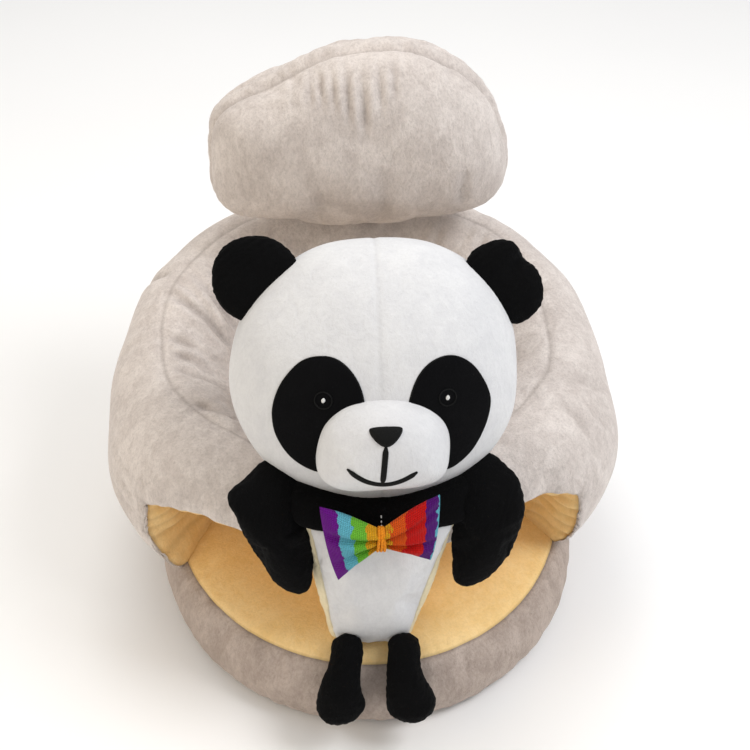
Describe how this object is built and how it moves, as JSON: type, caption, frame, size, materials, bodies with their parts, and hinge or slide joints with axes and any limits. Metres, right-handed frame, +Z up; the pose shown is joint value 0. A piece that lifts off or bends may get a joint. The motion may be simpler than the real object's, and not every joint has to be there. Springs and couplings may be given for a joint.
{
  "type": "plush panda sit-up seat",
  "caption": "Plush sit-up seat for a baby: round base cushion, ring-shaped bolster with leg openings, pillow headrest and a stuffed panda with a knitted bow on the front.",
  "frame": {"origin": "centre of the base cushion's flat bottom, on the floor it stands on", "axes": "+Z up; -Y the way the panda looks; +X to the right of a person who faces the panda"},
  "size_m": [0.51, 0.5332, 0.493],
  "materials": {
    "plush_grey": "matte",
    "plush_yellow": "matte",
    "plush_cream": "matte",
    "plush_white": "matte",
    "plush_black": "matte",
    "felt_black": "matte",
    "thread_black": "matte",
    "thread_white": "matte",
    "knit_rainbow": "matte",
    "knit_orange": "matte",
    "fibre_filling": "matte",
    "nonslip_fabric": "matte"
  },
  "bodies": {
    "seat": {"base_bottom_panel": "nonslip_fabric", "base_side_band": "plush_grey", "base_top_panel": "plush_yellow", "base_filling": "fibre_filling", "backrest_outer_cover": "plush_grey", "backrest_inner_cover": "plush_grey", "backrest_filling": "fibre_filling", "leg_opening_lining_left": "plush_yellow", "leg_opening_lining_right": "plush_yellow", "divider_cover_left": "plush_cream", "divider_cover_right": "plush_cream", "divider_filling": "fibre_filling", "belly_panel": "plush_white", "chest_yoke": "plush_black", "torso_filling": "fibre_filling"},
    "headrest": {"headrest_front_panel": "plush_grey", "headrest_gusset": "plush_grey", "headrest_back_panel": "plush_grey", "headrest_filling": "fibre_filling"},
    "head": {"head_face_left": "plush_white", "head_face_right": "plush_white", "head_back_panel": "plush_white", "head_filling": "fibre_filling", "muzzle_panel": "plush_white", "muzzle_filling": "fibre_filling", "eye_patch_left": "felt_black", "eye_patch_right": "felt_black", "eye_outline_left": "thread_black", "eye_outline_right": "thread_black", "eye_highlight_left": "thread_white", "eye_highlight_right": "thread_white", "nose": "felt_black", "mouth": "thread_black"},
    "ear_left": {"ear_left_front": "plush_black", "ear_left_back": "plush_black", "ear_left_filling": "fibre_filling"},
    "ear_right": {"ear_right_front": "plush_black", "ear_right_back": "plush_black", "ear_right_filling": "fibre_filling"},
    "arm_left": {"arm_left_cover": "plush_black", "arm_left_filling": "fibre_filling"},
    "arm_right": {"arm_right_cover": "plush_black", "arm_right_filling": "fibre_filling"},
    "leg_left": {"leg_left_cover": "plush_black", "leg_left_filling": "fibre_filling"},
    "leg_right": {"leg_right_cover": "plush_black", "leg_right_filling": "fibre_filling"},
    "bow": {"bow_left_wing": "knit_rainbow", "bow_right_wing": "knit_rainbow", "bow_knot": "knit_orange"}
  },
  "joints": [
    {"name": "headrest_fold", "type": "hinge", "parent": "seat", "child": "headrest", "pos_m": [0, 0.18, 0.3115], "axis": [1, 0, 0], "range_deg": [-14, 25], "stiffness_Nm_per_rad": 0.8, "springref_deg": -0.69},
    {"name": "head_nod", "type": "hinge", "parent": "seat", "child": "head", "pos_m": [0, -0.117, 0.2125], "axis": [-1, 0, 0], "range_deg": [0, 14], "stiffness_Nm_per_rad": 0.5, "springref_deg": -11.46},
    {"name": "ear_left_bend", "type": "hinge", "parent": "head", "child": "ear_left", "pos_m": [-0.0985, -0.08075, 0.39508], "axis": [0.6153, 0.3332, 0.7145], "range_deg": [-15, 15], "stiffness_Nm_per_rad": 0.03},
    {"name": "arm_left_lift", "type": "hinge", "parent": "seat", "child": "arm_left", "pos_m": [-0.095, -0.179, 0.249], "axis": [-1, 0, 0], "range_deg": [0, 70]},
    {"name": "leg_left_lift", "type": "hinge", "parent": "seat", "child": "leg_left", "pos_m": [-0.024, -0.209, 0.111], "axis": [-1, 0, 0], "range_deg": [0, 50]},
    {"name": "ear_right_bend", "type": "hinge", "parent": "head", "child": "ear_right", "pos_m": [0.0985, -0.08075, 0.39508], "axis": [-0.6153, 0.3332, 0.7145], "range_deg": [-15, 15], "stiffness_Nm_per_rad": 0.03},
    {"name": "arm_right_lift", "type": "hinge", "parent": "seat", "child": "arm_right", "pos_m": [0.095, -0.179, 0.249], "axis": [-1, 0, 0], "range_deg": [0, 70]},
    {"name": "leg_right_lift", "type": "hinge", "parent": "seat", "child": "leg_right", "pos_m": [0.024, -0.209, 0.111], "axis": [-1, 0, 0], "range_deg": [0, 50]},
    {"name": "bow_turn", "type": "hinge", "parent": "seat", "child": "bow", "pos_m": [0, -0.222, 0.229], "axis": [0, -1, 0], "range_deg": [-12, 12], "stiffness_Nm_per_rad": 0.01}
  ]
}
